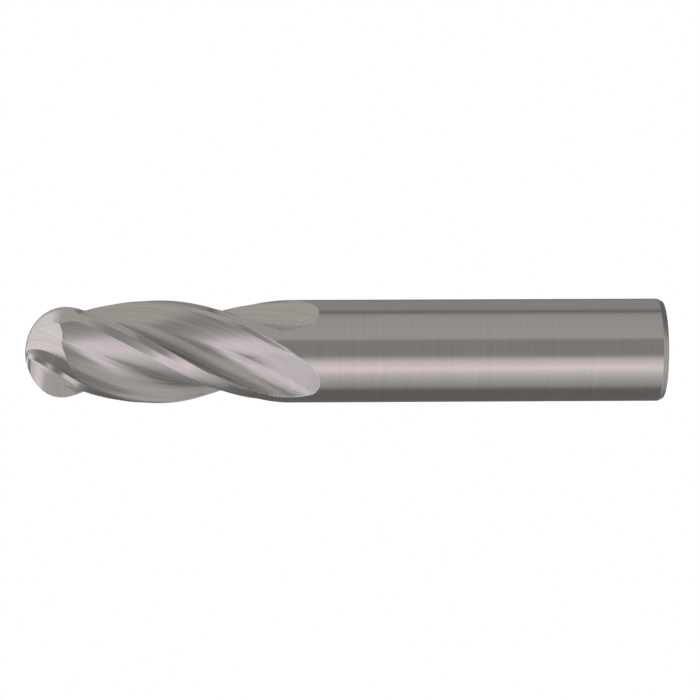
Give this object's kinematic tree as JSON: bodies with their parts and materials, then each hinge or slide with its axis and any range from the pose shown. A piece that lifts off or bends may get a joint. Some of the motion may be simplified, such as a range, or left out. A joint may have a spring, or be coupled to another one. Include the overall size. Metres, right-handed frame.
{
  "type": "ball nose end mill",
  "caption": "Solid round end mill with helical flutes, a hemispherical cutting end and a plain cylindrical shank.",
  "frame": {"origin": "centre of the flat shank end", "axes": "+Z along the tool axis from the shank end to the ball tip; the edge of tooth_1 faces straight along -Y at 59.3 mm above the origin"},
  "size_m": [0.012, 0.012, 0.075],
  "materials": {
    "shank": "fine ground",
    "core": "ground",
    "tooth_1": "ground",
    "tooth_2": "ground",
    "tooth_3": "ground",
    "tooth_4": "ground"
  },
  "bodies": {
    "root": {"shank": "shank", "core": "core", "tooth_1": "tooth_1", "tooth_2": "tooth_2", "tooth_3": "tooth_3", "tooth_4": "tooth_4"}
  },
  "joints": []
}
